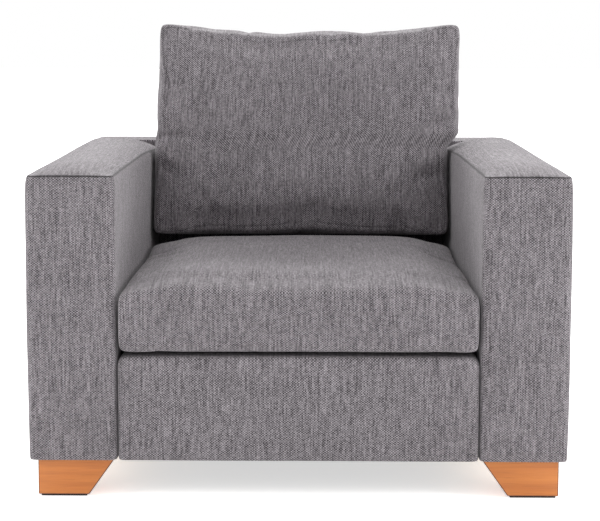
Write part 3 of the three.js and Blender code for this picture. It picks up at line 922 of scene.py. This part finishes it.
def makeSeatCushion():
    low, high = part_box("seat_cushion_cover")
    shape = seatCushionShape
    edgeTop = low.z + shape["edgeHeight"]
    start = Vector(shape["start"])
    cushion = addBlock("seatCushion", low + start, Vector((high.x, high.y, edgeTop)) - start)
    bpy.ops.object.mode_set(mode="EDIT")
    pick(cushion, "EDGE", lambda e: along(e, 1) and middleOf(e).z < low.z + 0.01)
    bpy.ops.mesh.bevel(offset=shape["lowCorner"], segments=4)
    pick(cushion, "EDGE", lambda e: along(e, 1) and middleOf(e).z > edgeTop - 0.01)
    bpy.ops.mesh.bevel(offset=shape["corner"], segments=4)
    innerY = (high.y - low.y) / 2 - start.y
    middleY = (high.y + low.y) / 2
    pick(cushion, "EDGE", lambda e: abs(middleOf(e).y - middleY) > innerY - 0.0001)
    bpy.ops.mesh.bevel(offset=shape["corner"], segments=4)
    cutIntoCells(cushion, cushionCloth["cell"])
    bpy.ops.object.mode_set(mode="OBJECT")
    innerX = high.x - start.x
    # one seam along each side, where the wrapped panel meets the side panel
    sideSeamZ = edgeTop - start.z - shape["corner"]
    markSeams(cushion, lambda e: all(abs(v.co.x) > innerX - 0.0008 and abs(v.co.z - sideSeamZ) < 0.0008
                                     for v in e.verts))
    co = points(cushion)
    across = np.clip(np.abs(co[:, 0]) / innerX, 0, 1)
    back = (co[:, 1] - low.y) / (high.y - low.y)
    up = np.clip((co[:, 2] - low.z) / (edgeTop - low.z), 0, 1)
    crown = (high.z - edgeTop) * (1 - across ** shape["fullness"]) * smoothStep(-0.16, 0.16, back)
    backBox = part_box("back_cushion_cover")[0]
    shade = (backBox.y - low.y) / (high.y - low.y)
    fall = shape["rearFall"] * smoothStep(shade - 0.04, 1.0, back)
    co[:, 2] += (crown - fall) * up
    co[:, 2] += softNoise(co, 5.0, shape["seed"]) * 2 * shape["wobble"] * up
    setPoints(cushion, co)
    inflate(cushion, shape["pressure"], shape["grow"], shape["cap"])
    for axis, sign, place, keep in ((0, -1, low.x, 0.25), (0, 1, high.x, 0.25), (2, -1, low.z, 0.25),
                                    (1, 1, high.y, 0.15), (1, -1, low.y, 0.6)):
        calmSide(cushion, axis, sign, place, keep, 0.05)
    layWeave(cushion, low, Vector((high.x, high.y, edgeTop)))
    sewSeams(cushion, cushionCloth["seamWidth"], cushionCloth["seamDepth"], cushionCloth["paintedSeamShade"])
    subdivideSmooth(cushion)
    co = points(cushion)
    tall = (high.z + 0.002 - low.z) / (co[:, 2].max() - low.z)
    co[:, 2] = low.z + (co[:, 2] - low.z) * tall
    setPoints(cushion, co)
    smoothShade(cushion)
    giveMaterial(cushion, clothGrey)
    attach(cushion, "seat_cushion")
    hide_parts("seat_cushion_cover", "seat_cushion_core")
    return cushion


backCushion = makeBackCushion()
print("back cushion made", len(backCushion.data.polygons))
seatCushion = makeSeatCushion()
print("seat cushion made", len(seatCushion.data.polygons))


# Tapered block feet: the inner side slopes in towards the glide
footShape = {
    "chamfer": 0.0022,
    "toeMargin": 0.005,    # wood that shows beside the glide
}


def makeFoot(corner):
    low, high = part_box(f"foot_{corner}")
    outerSign = 1 if low.x > 0 else -1
    glideLow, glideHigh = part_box(f"glide_{corner}")
    toeInner = (glideLow.x if outerSign > 0 else glideHigh.x) - outerSign * footShape["toeMargin"]
    foot = addBlock(f"foot_{corner}_block", low, high)
    bpy.ops.object.mode_set(mode="EDIT")
    innerEdge = low.x if outerSign > 0 else high.x
    pick(foot, "VERT", lambda v: v.co.z < low.z + 0.001 and abs(v.co.x - innerEdge) < 0.001)
    bpy.ops.transform.translate(value=(toeInner - innerEdge, 0, 0))
    pick(foot, "EDGE", lambda e: middleOf(e).z < high.z - 0.001)
    bpy.ops.mesh.bevel(offset=footShape["chamfer"], segments=2)
    cage = bmesh.from_edit_mesh(foot.data)
    chamferFaces = [f.index for f in cage.faces if f.select]
    bpy.ops.object.mode_set(mode="OBJECT")
    foot.data.materials.append(woodOrange)
    # the chamfers along the foot's sides and bottom take the darker wood tone
    foot.data.materials.append(woodDarkChamfer)
    for i in chamferFaces:
        foot.data.polygons[i].material_index = 1
    smoothShade(foot, 40)
    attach(foot, "frame")
    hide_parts(f"foot_{corner}")
    return foot


feet = [makeFoot(corner) for corner in ("front_left", "front_right", "rear_left", "rear_right")]
print("feet made")


# Finishes for the frame pieces that stay as they are
finishes = {
    "timber": woodFrame,
    "hardboard": boardHard,
    "foam": foamYellow,
    "lining": liningBlack,
    "webbing": strapWeb,
    "zip_tape": tapeWoven,
    "zip_metal": steelBright,
    "steel": steelBright,
    "glide": rubberBlack,
    "cover_cloth": clothGrey,
    "foot_wood": woodOrange,
}
slotOf = {part["node"]: part["material_slot"] for part in frame["record"]["subparts"]}
for name, node in frame["nodes"].items():
    giveMaterial(node, feltDark if name == "spring_pad" else finishes[slotOf[name]])
print("frame pieces finished")


# Floor, light and camera
studio = {
    "shown": 1.0,          # the white that surrounds the chair
    "dome": 0.12,
    "behind": 0.85,        # extra light from behind the chair
    "above": 1.25,
    "floor": (0.90, 0.90, 0.90),
    "floorGlow": 0.60,     # lifts the floor towards white where it is seen
    "floorLight": 0.26,    # what of that glow lights the chair
    "lamps": {
        "keyLeft": {"at": (-3.0, -1.1, 1.55), "towards": (0, 0.1, 0.6), "size": (1.2, 1.2), "watts": 37},
        "keyRight": {"at": (3.0, -1.1, 1.55), "towards": (0, 0.1, 0.6), "size": (1.2, 1.2), "watts": 52},
        "rim": {"at": (0, 2.6, 3.0), "towards": (0, 0, 0.5), "size": (3.0, 1.2), "watts": 70},
    },
}


# White all round, with more light from behind and above
def makeSky():
    world = bpy.data.worlds.new("studio")
    bpy.context.scene.world = world
    world.use_nodes = True
    tree = world.node_tree
    lit = tree.nodes["Background"]
    where = tree.nodes.new("ShaderNodeTexCoord")
    parts = tree.nodes.new("ShaderNodeSeparateXYZ")
    tree.links.new(where.outputs["Generated"], parts.inputs[0])
    total = None
    for output, share in ((parts.outputs[1], studio["behind"]), (parts.outputs[2], studio["above"])):
        towards = tree.nodes.new("ShaderNodeMath")
        towards.operation = "MAXIMUM"
        towards.inputs[1].default_value = 0
        tree.links.new(output, towards.inputs[0])
        gain = tree.nodes.new("ShaderNodeMath")
        gain.operation = "MULTIPLY_ADD"
        gain.inputs[1].default_value = share
        gain.inputs[2].default_value = studio["dome"]
        tree.links.new(towards.outputs[0], gain.inputs[0])
        if total is not None:       # the second gain adds to the first
            tree.links.new(total, gain.inputs[2])
        total = gain.outputs[0]
    tree.links.new(total, lit.inputs["Strength"])
    lit.inputs["Color"].default_value = (1, 1, 1, 1)
    shown = tree.nodes.new("ShaderNodeBackground")
    shown.inputs["Color"].default_value = (1, 1, 1, 1)
    shown.inputs["Strength"].default_value = studio["shown"]
    path = tree.nodes.new("ShaderNodeLightPath")
    choose = tree.nodes.new("ShaderNodeMixShader")
    tree.links.new(path.outputs["Is Camera Ray"], choose.inputs[0])
    tree.links.new(lit.outputs[0], choose.inputs[1])
    tree.links.new(shown.outputs[0], choose.inputs[2])
    tree.links.new(choose.outputs[0], tree.nodes["World Output"].inputs[0])


def makeStage():
    bpy.ops.object.select_all(action="DESELECT")
    bpy.ops.mesh.primitive_plane_add(size=60, location=(0, 0, 0))
    floor = bpy.context.object
    floor.name = "floor"
    pale = studio["floor"]
    paint = makeSpeckled("floor_white", pale, tuple(1.02 * c for c in pale), 3, 0.9, 0.0)
    shader = paint.node_tree.nodes["Principled BSDF"]
    shader.inputs["Emission Color"].default_value = (1, 1, 1, 1)
    path = paint.node_tree.nodes.new("ShaderNodeLightPath")
    glow = paint.node_tree.nodes.new("ShaderNodeMapRange")
    glow.inputs["To Min"].default_value = studio["floorLight"]
    glow.inputs["To Max"].default_value = studio["floorGlow"]
    paint.node_tree.links.new(path.outputs["Is Camera Ray"], glow.inputs["Value"])
    paint.node_tree.links.new(glow.outputs["Result"], shader.inputs["Emission Strength"])
    giveMaterial(floor, paint)
    makeSky()
    for name, lamp in studio["lamps"].items():
        bpy.ops.object.light_add(type="AREA", location=lamp["at"])
        light = bpy.context.object
        light.name = name
        light.data.shape = "RECTANGLE"
        light.data.size, light.data.size_y = lamp["size"]
        light.data.energy = lamp["watts"]
        ray = Vector(lamp["towards"]) - Vector(lamp["at"])
        light.rotation_euler = ray.to_track_quat("-Z", "Y").to_euler()


view = {
    "at": (0.0222, -2.9914, 0.9122),
    "pitch": 5.63,         # degrees, looking down
    "turn": 0.446,
    "roll": 0.12,
    "lens": 80.0,
    "rise": -0.1615,       # upward shift of the frame
}


def makeCamera():
    bpy.ops.object.camera_add(location=view["at"])
    camera = bpy.context.object
    camera.data.sensor_width = 36
    camera.data.lens = view["lens"]
    camera.data.shift_y = view["rise"]
    camera.data.clip_end = 60
    aim = Euler((math.radians(90 - view["pitch"]), 0, math.radians(view["turn"]))).to_matrix()
    camera.rotation_euler = (aim @ Matrix.Rotation(math.radians(view["roll"]), 3, "Z")).to_euler()
    bpy.context.scene.camera = camera


makeStage()
makeCamera()
print("stage and camera set")
